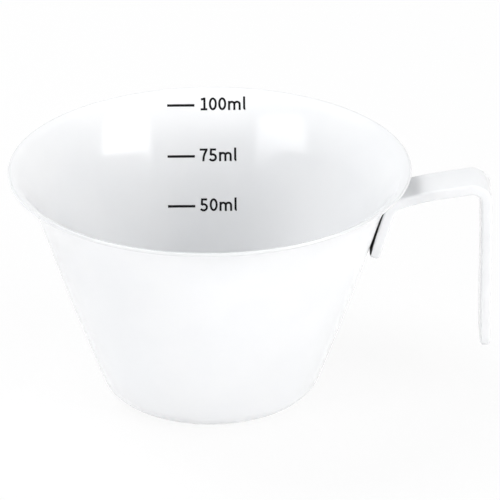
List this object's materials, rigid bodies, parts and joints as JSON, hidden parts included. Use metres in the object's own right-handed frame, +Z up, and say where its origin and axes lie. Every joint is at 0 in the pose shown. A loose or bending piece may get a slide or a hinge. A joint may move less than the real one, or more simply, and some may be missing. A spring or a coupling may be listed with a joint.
{
  "type": "espresso measuring cup",
  "caption": "Small white-coated conical steel measuring cup with a flared rim, an open flat strip handle and a millilitre scale printed inside.",
  "frame": {"origin": "centre of the flat base, on the surface the cup stands on", "axes": "+X from the cup's axis towards the handle, +Y away from the person who reads the scale, +Z up along the cup's axis"},
  "size_m": [0.094, 0.0784, 0.0468],
  "materials": {
    "shell_coat": "glossy white coating on drawn steel",
    "strip_coat": "glossy white coating on a bent steel strip",
    "weld_metal": "bare weld metal between the coated faces",
    "scale_ink": "black printed ink"
  },
  "bodies": {
    "root": {"cup_shell": "shell_coat", "handle_strip": "strip_coat", "upper_spot_weld": "weld_metal", "lower_spot_weld": "weld_metal", "mark_100": "scale_ink", "mark_75": "scale_ink", "mark_50": "scale_ink"}
  },
  "joints": []
}
